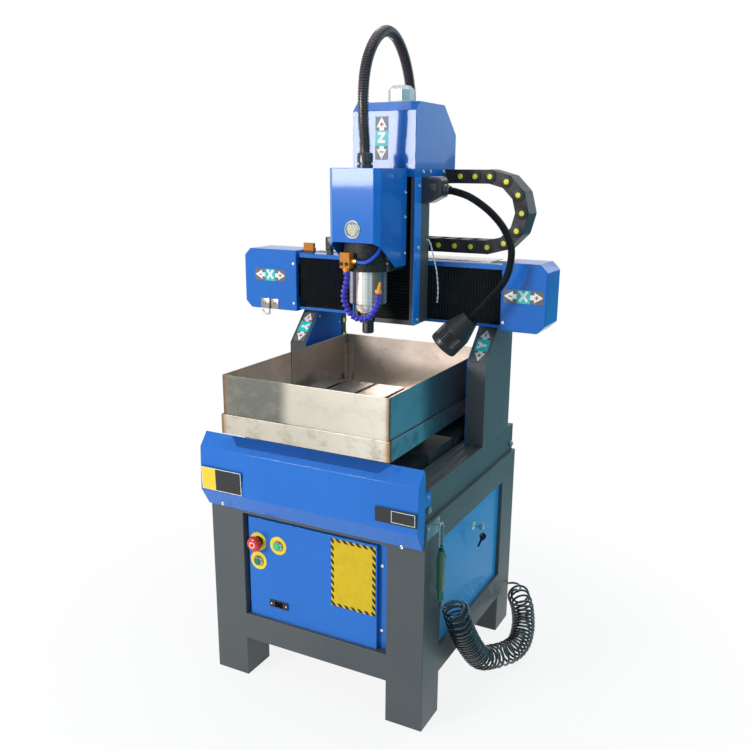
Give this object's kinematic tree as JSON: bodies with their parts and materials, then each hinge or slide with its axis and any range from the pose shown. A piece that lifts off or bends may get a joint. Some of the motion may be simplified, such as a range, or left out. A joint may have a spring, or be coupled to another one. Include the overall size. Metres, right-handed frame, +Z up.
{
  "type": "desktop cnc router",
  "caption": "Gantry router on a welded stand with moving table, slotted bed, splash tray, spindle head, work lamp, energy chain and air gun.",
  "frame": {"origin": "on the floor, midway between the levelling foot holes of the stand", "axes": "+Z up, +Y to the back, +X to the operator's right"},
  "size_m": [0.9314, 0.7202, 1.6805],
  "materials": {
    "stand_paint": "satin dark grey paint",
    "bed_paint": "satin grey paint",
    "cover_blue": "glossy blue paint",
    "casting_paint": "satin dark grey paint",
    "button_plastic": "black plastic",
    "inlet_plastic": "black plastic",
    "drive_case": "plain case",
    "guide_steel": "ground steel",
    "motor_black": "black paint",
    "chain_plastic": "black plastic",
    "hook_steel": "bright steel",
    "gun_green": "green plastic",
    "hose_black": "glossy black hose",
    "fitting_brass": "plain brass",
    "screw_steel": "bright steel",
    "bellows_rubber": "black pleated rubber",
    "table_steel": "milled steel",
    "tray_steel": "stained stainless steel",
    "motor_cap": "pale cast cap",
    "lamp_grey": "dark grey plastic",
    "gooseneck_black": "black ribbed tube",
    "wire_white": "white insulation",
    "clamp_iron": "rough dark casting",
    "spindle_steel": "polished steel",
    "block_orange": "orange plastic",
    "tube_blue": "blue tube",
    "conduit_black": "black corrugated plastic",
    "hose_violet": "blue plastic",
    "nut_black": "blackened steel",
    "stop_red": "red plastic",
    "start_green": "green plastic",
    "light_green": "dark green plastic",
    "key_steel": "bright steel"
  },
  "bodies": {
    "frame": {"stand": "stand_paint", "bed": "bed_paint", "front_cover": "cover_blue", "control_panel": "cover_blue", "button_bodies": "button_plastic", "power_inlet": "inlet_plastic", "side_panel": "cover_blue", "cabinet_panels": "cover_blue", "cabinet_electrics": "drive_case", "left_upright": "casting_paint", "right_upright": "casting_paint", "upright_sheets": "cover_blue", "beam": "casting_paint", "beam_strips": "cover_blue", "left_end_cover": "cover_blue", "right_end_cover": "cover_blue", "linear_rails": "guide_steel", "axis_motors": "motor_black", "energy_chain": "chain_plastic", "chain_tray": "casting_paint", "air_hook": "hook_steel", "air_gun": "gun_green", "air_hose_coil": "hose_black", "air_hose_lead": "hose_black", "hose_fitting": "fitting_brass", "cover_screws": "screw_steel", "x_bellows_left": "bellows_rubber", "x_bellows_right": "bellows_rubber", "y_bellows_front": "bellows_rubber", "y_bellows_rear": "bellows_rubber"},
    "table": {"table_saddle": "bed_paint", "t_slot_table": "table_steel", "tray_pan": "tray_steel", "splash_box": "tray_steel"},
    "carriage": {"z_frame": "casting_paint", "z_side_plates": "cover_blue", "tower_cover": "cover_blue", "z_motor": "motor_cap", "lamp_base": "lamp_grey", "gooseneck": "gooseneck_black", "lamp_head": "lamp_grey", "z_bellows": "bellows_rubber", "lamp_wire": "wire_white"},
    "head": {"spindle_clamp": "clamp_iron", "head_cover": "cover_blue", "spindle": "spindle_steel", "coolant_block": "block_orange", "coolant_tube": "tube_blue", "conduit_gland": "conduit_black", "conduit": "conduit_black"},
    "nozzle": {"coolant_hose": "hose_violet"},
    "rotor": {"collet_nut": "nut_black"},
    "x_ball_screw": {"x_screw": "guide_steel"},
    "y_ball_screw": {"y_screw": "guide_steel"},
    "z_ball_screw": {"z_screw": "guide_steel"},
    "stop_button": {"e_stop_head": "stop_red"},
    "start_button": {"start_cap": "start_green"},
    "light_button": {"light_cap": "light_green"},
    "lock": {"lock_cylinder": "key_steel"},
    "trigger": {"gun_lever": "gun_green"}
  },
  "joints": [
    {"name": "x_travel", "type": "slide", "parent": "frame", "child": "carriage", "axis": [1, 0, 0], "range_m": [-0.215, 0.185], "deforming": ["energy_chain", "x_bellows_left", "x_bellows_right"]},
    {"name": "y_travel", "type": "slide", "parent": "frame", "child": "table", "axis": [0, 1, 0], "range_m": [-0.16, 0.2], "deforming": ["y_bellows_front", "y_bellows_rear"]},
    {"name": "z_travel", "type": "slide", "parent": "carriage", "child": "head", "axis": [0, 0, 1], "range_m": [-0.115, 0.02], "deforming": ["z_bellows", "conduit"]},
    {"name": "spindle_turn", "type": "hinge", "parent": "head", "child": "rotor", "pos_m": [0.023, -0.067, 0.96], "axis": [0, 0, 1], "continuous": true},
    {"name": "nozzle_turn", "type": "hinge", "parent": "head", "child": "nozzle", "pos_m": [-0.0005, -0.139, 1.11], "axis": [0, 0, 1], "range_deg": [-15, 15]},
    {"name": "x_screw_turn", "type": "hinge", "parent": "frame", "child": "x_ball_screw", "pos_m": [0, 0.14, 1.024], "axis": [1, 0, 0], "range_deg": [-7745, 6665]},
    {"name": "y_screw_turn", "type": "hinge", "parent": "frame", "child": "y_ball_screw", "pos_m": [0, 0, 0.611], "axis": [0, 1, 0], "range_deg": [-5765, 7205]},
    {"name": "z_screw_turn", "type": "hinge", "parent": "carriage", "child": "z_ball_screw", "pos_m": [0.023, 0.062, 1.1], "axis": [0, 0, 1], "range_deg": [-8285, 1445]},
    {"name": "stop_push", "type": "slide", "parent": "frame", "child": "stop_button", "axis": [0, 1, 0], "range_m": [0, 0.005], "stiffness_N_per_m": 2000, "springref_m": -0.002},
    {"name": "start_push", "type": "slide", "parent": "frame", "child": "start_button", "axis": [0, 1, 0], "range_m": [0, 0.003], "stiffness_N_per_m": 1000, "springref_m": -0.002},
    {"name": "light_push", "type": "slide", "parent": "frame", "child": "light_button", "axis": [0, 1, 0], "range_m": [0, 0.003], "stiffness_N_per_m": 1000, "springref_m": -0.002},
    {"name": "lock_turn", "type": "hinge", "parent": "frame", "child": "lock", "pos_m": [0.3, 0.015, 0.42], "axis": [1, 0, 0], "range_deg": [0, 90]},
    {"name": "trigger_squeeze", "type": "hinge", "parent": "frame", "child": "trigger", "pos_m": [0.328, -0.254, 0.448], "axis": [1, 0, 0], "range_deg": [-6, 0], "stiffness_Nm_per_rad": 1, "springref_deg": 2.86}
  ],
  "couplings": [
    {"joint": "x_screw_turn", "follows": "x_travel", "rad_per_m": 628.32},
    {"joint": "y_screw_turn", "follows": "y_travel", "rad_per_m": 628.32},
    {"joint": "z_screw_turn", "follows": "z_travel", "rad_per_m": 1256.6}
  ]
}
